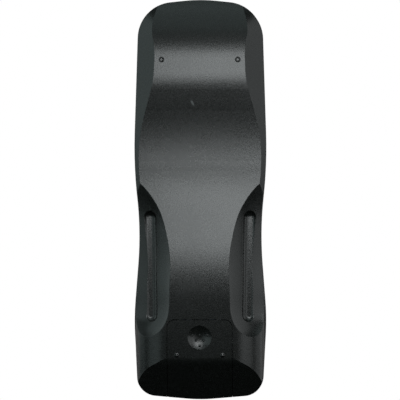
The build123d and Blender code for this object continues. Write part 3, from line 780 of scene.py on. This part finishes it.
@dataclass
class Keypad:
    """The keycaps, their printed legends and the rubber sheet."""

    cap: MouldedPlastic = field(
        default_factory=lambda: MouldedPlastic("grey_keycap", grey(0.24), grey(0.27), roughness=0.42, grain_mm=0.4)
    )
    colours: dict[str, Colour] = field(
        default_factory=lambda: {
            "key_power": RED,
            "key_red": RED,
            "key_green": (0.02, 0.2, 0.045),
            "key_yellow": (0.6, 0.4, 0.02),
            "key_blue": (0.018, 0.06, 0.3),
        }
    )
    pale_ink: PlainFinish = field(
        default_factory=lambda: PlainFinish("white_ink", grey(0.75), roughness=0.5, variation=0.04)
    )
    dark_ink: PlainFinish = field(
        default_factory=lambda: PlainFinish("black_ink", grey(0.01), roughness=0.5, variation=0.1)
    )
    sheet: PlainFinish = field(default_factory=lambda: PlainFinish("grey_rubber", grey(0.16), roughness=0.65))
    words: dict[str, str] = field(
        default_factory=lambda: {
            **{f"key_{digit}": str(digit) for digit in range(10)},
            "key_dash": "-/--",
            "key_ok": "OK",
        }
    )
    letter_mm: float = 4.2
    ring_mm: float = 11.4
    rocker_mark_mm: float = 9.0

    def build(self, frame: dict) -> None:
        """Dresses every key and prints its legend.
        """
        cap = self.cap.build()
        for node in frame["nodes"]:
            if not node.startswith(("key_", "rocker_")):
                continue
            if node in self.colours:
                colour = self.colours[node]
                plastic = MouldedPlastic(f"plastic_{node}", colour, colour, roughness=self.cap.roughness)
                dress(node, plastic.build(), frame)
            else:
                dress(node, cap, frame)
        dress("keypad_sheet", self.sheet.build(), frame)
        dark_ink = self.dark_ink.build()
        pale_ink = self.pale_ink.build()
        for node, body in self.words.items():
            stamp = Stamp(dark_ink)
            stamp.words(body, self.letter_mm)
            stamp.press(f"legend_{node}", self.top(node), node)
        for kind in Sign:
            node = f"key_{kind.value}"
            stamp = Stamp(pale_ink if node in self.colours else dark_ink)
            stamp.sign(kind)
            stamp.press(f"legend_{node}", self.sign_place(kind), node)
        self.mark_rockers(dark_ink)

    def top(self, node: str) -> Point:
        """Middle of a keycap's top."""
        low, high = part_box(node)
        return ((low[0] + high[0]) / 2, (low[1] + high[1]) / 2, high[2])

    def sign_place(self, kind: Sign) -> Point:
        """Finds where a sign is printed: on its keycap's middle, or on the ring round the middle key.

        Args:
            kind: the sign.

        Returns:
            The place in metres.
        """
        steps = {Sign.UP: (0, 1), Sign.LEFT: (-1, 0), Sign.DOWN: (0, -1), Sign.RIGHT: (1, 0)}
        if kind not in steps:
            return self.top(f"key_{kind.value}")
        x, y, z = self.top("key_ok")
        across, along = steps[kind]
        return (x + across * self.ring_mm * MM, y + along * self.ring_mm * MM, z)

    def mark_rockers(self, ink: Material) -> None:
        """Prints the marks at the ends and the middle of both rockers.

        Args:
            ink: the marks' material.
        """
        reach = self.rocker_mark_mm
        volume = Stamp(ink)
        volume.bar(0.0, reach, 2.6, 0.5)
        volume.bar(0.0, reach, 2.6, 0.5, 90.0)
        volume.bar(0.0, -reach, 2.6, 0.5)
        volume.speaker(0.0)
        volume.press("legend_rocker_volume", self.top("rocker_volume"), "rocker_volume")
        channel = Stamp(ink)
        channel.triangle(0.0, reach, 1.5, 90.0)
        channel.triangle(0.0, -reach, 1.5, 270.0)
        for y in (-1.2, 1.2):
            channel.bar(0.0, y, 3.8, 0.36)
        for x in (-1.75, 1.75):
            channel.bar(x, 0.0, 2.6, 0.36, 90.0)
        channel.press("legend_rocker_channel", self.top("rocker_channel"), "rocker_channel")


@dataclass(frozen=True)
class CellSleeve:
    """Printed sleeve of a battery cell, bare steel at both ends, with its signs.

    Places along the cell are measured from its flat end, and towards is the way its button points along Y, 1 or -1.
    """

    node: str
    towards: float
    sleeve: Colour = (0.018, 0.03, 0.055)
    band: Colour = (0.42, 0.43, 0.44)
    steel: Colour = (0.62, 0.62, 0.6)
    case_mm: float = 49.5
    rim_mm: float = 0.7
    band_mm: float = 38.0
    sign_mm: float = 43.0
    arm_mm: float = 1.7
    stroke_mm: float = 0.35
    scuffs_per_metre: float = 900.0
    scuff_edge: Span = (0.3, 0.7)
    roughness: Span = (0.24, 0.36)

    def build(self) -> Material:
        """Makes the sleeve's material.

        Returns:
            The material.
        """
        low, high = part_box(self.node)
        material, w, shader = new_material(f"sleeve_{self.node}")
        place = w.add("ShaderNodeTexCoord").outputs["Object"]
        split = w.add("ShaderNodeSeparateXYZ")
        w.join(place, split.inputs[0])
        foot = low[1] if self.towards > 0 else high[1]
        along = w.math("MULTIPLY", w.math("SUBTRACT", split.outputs["Y"], foot), self.towards / MM)
        aside = w.math("DIVIDE", w.math("SUBTRACT", split.outputs["X"], (low[0] + high[0]) / 2), MM)
        plus = w.math("ABSOLUTE", w.math("SUBTRACT", along, self.sign_mm))
        minus = w.math("ABSOLUTE", w.math("SUBTRACT", along, self.case_mm - self.sign_mm))
        across = w.math("ABSOLUTE", aside)
        upright = w.math("MULTIPLY", w.under(across, self.stroke_mm), w.under(plus, self.arm_mm))
        level = w.math("MULTIPLY", w.under(across, self.arm_mm), w.under(plus, self.stroke_mm))
        dash = w.math("MULTIPLY", w.under(across, self.arm_mm), w.under(minus, self.stroke_mm))
        pale = w.mix_colour(w.over(along, self.band_mm), rgba(self.sleeve), rgba(self.band))
        signed = w.mix_colour(w.math("MAXIMUM", upright, level), pale, rgba(self.sleeve))
        signed = w.mix_colour(dash, signed, rgba(self.band))
        bare = w.math("MAXIMUM", w.under(along, self.rim_mm), w.over(along, self.case_mm - self.rim_mm))
        w.join(w.mix_colour(bare, signed, rgba(self.steel)), shader.inputs["Base Color"])
        w.join(bare, shader.inputs["Metallic"])
        scuffs = w.noise(place, self.scuffs_per_metre, detail=3.0)
        w.join(w.ramp(scuffs, *self.scuff_edge, *self.roughness), shader.inputs["Roughness"])
        return material


@dataclass(frozen=True)
class BoardFinish:
    """Green solder mask over copper tracks."""

    name: str = "solder_mask"
    mask: Colour = (0.012, 0.085, 0.03)
    track: Colour = (0.035, 0.19, 0.07)
    tracks_per_metre: float = 260.0
    track_wander: float = 0.6
    track_edge: Span = (0.04, 0.07)
    track_height_mm: float = 0.03
    patches_per_metre: float = 300.0
    patch_edge: Span = (0.3, 0.7)
    roughness: Span = (0.3, 0.42)

    def build(self) -> Material:
        """Makes the board's material.

        Returns:
            The material.
        """
        material, w, shader = new_material(self.name)
        place = w.add("ShaderNodeTexCoord").outputs["Object"]
        net = w.add("ShaderNodeTexVoronoi", feature="DISTANCE_TO_EDGE")
        w.join(place, net.inputs["Vector"])
        net.inputs["Scale"].default_value = self.tracks_per_metre
        net.inputs["Randomness"].default_value = self.track_wander
        line = w.ramp(net.outputs["Distance"], *self.track_edge, 1.0, 0.0)
        w.join(w.mix_colour(line, rgba(self.mask), rgba(self.track)), shader.inputs["Base Color"])
        patch = w.noise(place, self.patches_per_metre)
        w.join(w.ramp(patch, *self.patch_edge, *self.roughness), shader.inputs["Roughness"])
        bump = w.add("ShaderNodeBump")
        bump.inputs["Distance"].default_value = self.track_height_mm * MM
        w.join(line, bump.inputs["Height"])
        w.join(bump.outputs["Normal"], shader.inputs["Normal"])
        return material


def nickel(name: str) -> PlainFinish:
    """The bright nickel of the cells' contacts."""
    return PlainFinish(name, (0.66, 0.64, 0.6), roughness=0.22, metallic=1.0)


@dataclass
class Insides:
    """The circuit board, what is soldered to it, the cells and their contacts."""

    finishes: dict[str, PlainFinish | BoardFinish | CellSleeve] = field(
        default_factory=lambda: {
            "circuit_board": BoardFinish(),
            "board_screws": PlainFinish("zinc_plate", grey(0.6), roughness=0.3, metallic=1.0),
            "driver_chip": PlainFinish("chip_epoxy", grey(0.02), roughness=0.5),
            "resonator": PlainFinish("amber_coating", (0.5, 0.24, 0.03), roughness=0.25, coat=0.5),
            "capacitor": PlainFinish("drawn_can", grey(0.55), roughness=0.3, metallic=1.0),
            "infrared_led": PlainFinish("lens_resin", (0.02, 0.02, 0.05), roughness=0.08),
            "spring_contact": nickel("nickel"),
            "plate_contact": nickel("nickel_plate"),
            "bridge_contact": nickel("nickel_bridge"),
            "battery_left": CellSleeve("battery_left", towards=-1.0),
            "battery_right": CellSleeve("battery_right", towards=1.0),
        }
    )

    def build(self, frame: dict) -> None:
        """Dresses every hidden piece."""
        for node, finish in self.finishes.items():
            dress(node, finish.build(), frame)


COOL: Colour = (0.94, 0.99, 1.0)
COOLER: Colour = (0.82, 1.0, 1.0)


@dataclass(frozen=True)
class Lamp:
    """A soft rectangular lamp that no camera sees, turned straight up or else towards the remote's middle."""

    name: str
    place_mm: Point
    size_mm: Span
    watts: float
    colour: Colour = grey(1.0)
    upright: bool = False
    mirrored: bool = True

    def build(self) -> None:
        """Adds the lamp."""
        deselect()
        bpy.ops.object.light_add(type="AREA", location=[c * MM for c in self.place_mm])
        lamp = bpy.context.object
        lamp.name = self.name
        lamp.visible_camera = False
        lamp.visible_glossy = self.mirrored
        lamp.data.shape = "RECTANGLE"
        lamp.data.size, lamp.data.size_y = (length * MM for length in self.size_mm)
        lamp.data.energy = self.watts
        lamp.data.color = self.colour
        if self.upright:
            lamp.rotation_euler = (math.pi, 0, 0)
        else:
            lamp.rotation_euler = (-Vector(self.place_mm)).to_track_quat("-Z", "Y").to_euler()


@dataclass
class Studio:
    """Floor, lamps, world and the camera below the back.

    The world's edges are heights of a ray's direction, from -1 straight down to 1 straight up. The camera stands aside
    by a share of its distance.
    """

    frame_mm: float = 201.04
    seam_mm: float = 17.5
    camera_mm: float = 1400.0
    camera_aside: float = -0.033
    near_clip_mm: float = 10.0
    sensor_mm: float = 36.0
    aim_mm: Span = (0.33, -0.18)
    floor_mm: float = 3000.0
    floor_clear_mm: Span = (220.0, 620.0)
    floor_paper: float = 0.8
    floor_roughness: float = 0.9
    sky_edge: Span = (-0.05, 0.3)
    light_below: float = 0.004
    light_above: float = 0.35
    zenith_edge: Span = (0.9, 0.98)
    zenith_share: float = 0.03
    mirror_rise: Span = (-0.02, 0.1)
    mirror_fall: Span = (0.45, 0.75)
    light_mirrored: float = 0.5
    lamps: tuple[Lamp, ...] = (
        Lamp("back_near", (-19.0, 70.0, -300.0), (150.0, 116.0), 0.35, COOL, upright=True),
        Lamp("back_near_head", (-20.0, 190.0, -300.0), (170.0, 110.0), 0.015, COOL, upright=True),
        Lamp("back_head_low", (0.0, 560.0, -480.0), (800.0, 350.0), 0.55, COOLER),
        Lamp("back_head", (0.0, 850.0, -300.0), (900.0, 400.0), 0.7, COOLER),
        Lamp("back_right_low", (-370.0, 60.0, -600.0), (440.0, 440.0), 0.8, COOL),
        Lamp("back_left_low", (370.0, 60.0, -600.0), (440.0, 440.0), 0.55, COOLER),
        Lamp("back_right", (-850.0, 250.0, -120.0), (900.0, 800.0), 2.3, COOL),
        Lamp("back_left", (850.0, 300.0, -120.0), (900.0, 800.0), 2.2, COOLER),
        Lamp("top_key", (-500.0, -500.0, 900.0), (700.0, 700.0), 14.0, mirrored=False),
        Lamp("top_fill", (700.0, 300.0, 700.0), (900.0, 900.0), 9.0, mirrored=False),
    )

    def build(self) -> None:
        """Sets up the whole studio."""
        self.world()
        self.floor()
        for lamp in self.lamps:
            lamp.build()
        self.camera()

    def world(self) -> None:
        """Lights softly from above, and shows white to the camera and through clear things, less in mirrors."""
        world = bpy.data.worlds.new("studio")
        bpy.context.scene.world = world
        world.use_nodes = True
        w = Wiring(world.node_tree)
        background = world.node_tree.nodes["Background"]
        rays = w.add("ShaderNodeLightPath").outputs
        direction = w.add("ShaderNodeSeparateXYZ")
        w.join(w.add("ShaderNodeTexCoord").outputs["Generated"], direction.inputs[0])
        height = direction.outputs["Z"]
        sky = w.ramp(height, *self.sky_edge, self.light_below, self.light_above)
        sky = w.math("MULTIPLY", sky, w.ramp(height, *self.zenith_edge, 1.0, self.zenith_share))
        fall = w.ramp(height, *self.mirror_fall, self.light_mirrored, 0.0)
        band = w.math("MULTIPLY", w.ramp(height, *self.mirror_rise), fall)
        shown = w.math("MAXIMUM", rays["Is Camera Ray"], rays["Is Transmission Ray"])
        shown = w.math("MAXIMUM", shown, w.math("MULTIPLY", rays["Is Glossy Ray"], band))
        w.join(w.math("MAXIMUM", shown, sky), background.inputs["Strength"])
        background.inputs["Color"].default_value = rgba(grey(1.0))

    def floor(self) -> None:
        """Lays a pale floor that fades out with distance, and that only the camera sees, and only from above."""
        deselect()
        bpy.ops.mesh.primitive_plane_add(size=self.floor_mm * MM, location=(0, 0, 0))
        floor = bpy.context.object
        floor.name = "floor"
        bpy.ops.object.transform_apply(location=True, rotation=True, scale=True)
        material, w, shader = new_material("floor_paper")
        shader.inputs["Base Color"].default_value = rgba(grey(self.floor_paper))
        shader.inputs["Roughness"].default_value = self.floor_roughness
        clear = w.add("ShaderNodeBsdfTransparent")
        behind = w.add("ShaderNodeNewGeometry").outputs["Backfacing"]
        seen = w.add("ShaderNodeLightPath").outputs["Is Camera Ray"]
        away = w.add("ShaderNodeVectorMath", operation="LENGTH")
        w.join(w.add("ShaderNodeTexCoord").outputs["Object"], away.inputs[0])
        near = w.ramp(away.outputs["Value"], self.floor_clear_mm[0] * MM, self.floor_clear_mm[1] * MM, 1.0, 0.0)
        both = w.add("ShaderNodeMixShader")
        w.join(w.math("MULTIPLY", near, w.math("SUBTRACT", seen, behind, clamp=True)), both.inputs[0])
        w.join(clear.outputs[0], both.inputs[1])
        w.join(shader.outputs[0], both.inputs[2])
        w.join(both.outputs[0], material.node_tree.nodes["Material Output"].inputs["Surface"])
        floor.data.materials.append(material)

    def camera(self) -> None:
        """Sets the camera straight below the back, a little to the side, with the infrared end up."""
        deselect()
        aside = self.camera_aside * self.camera_mm
        place = Vector((aside, self.aim_mm[1], -self.camera_mm))
        aim = Vector((self.aim_mm[0], self.aim_mm[1], self.seam_mm))
        bpy.ops.object.camera_add(location=place * MM)
        camera = bpy.context.object
        forward = (aim - place).normalized()
        right = forward.cross(Vector((0, 1, 0))).normalized()
        up = right.cross(forward)
        turn = Matrix((right, up, -forward)).transposed()
        camera.rotation_euler = turn.to_euler()
        camera.data.sensor_width = self.sensor_mm
        camera.data.lens = self.sensor_mm * (aim - place).length / self.frame_mm
        camera.data.clip_start = self.near_clip_mm * MM
        bpy.context.scene.camera = camera


def main() -> None:
    """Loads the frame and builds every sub-assembly."""
    logging.basicConfig(level=logging.INFO, format="%(name)s: %(message)s")
    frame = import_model()
    bpy.context.scene.view_settings.view_transform = "Standard"
    Case().build(frame)
    Keypad().build(frame)
    Insides().build(frame)
    Studio().build()


if __name__ == "__main__":
    main()
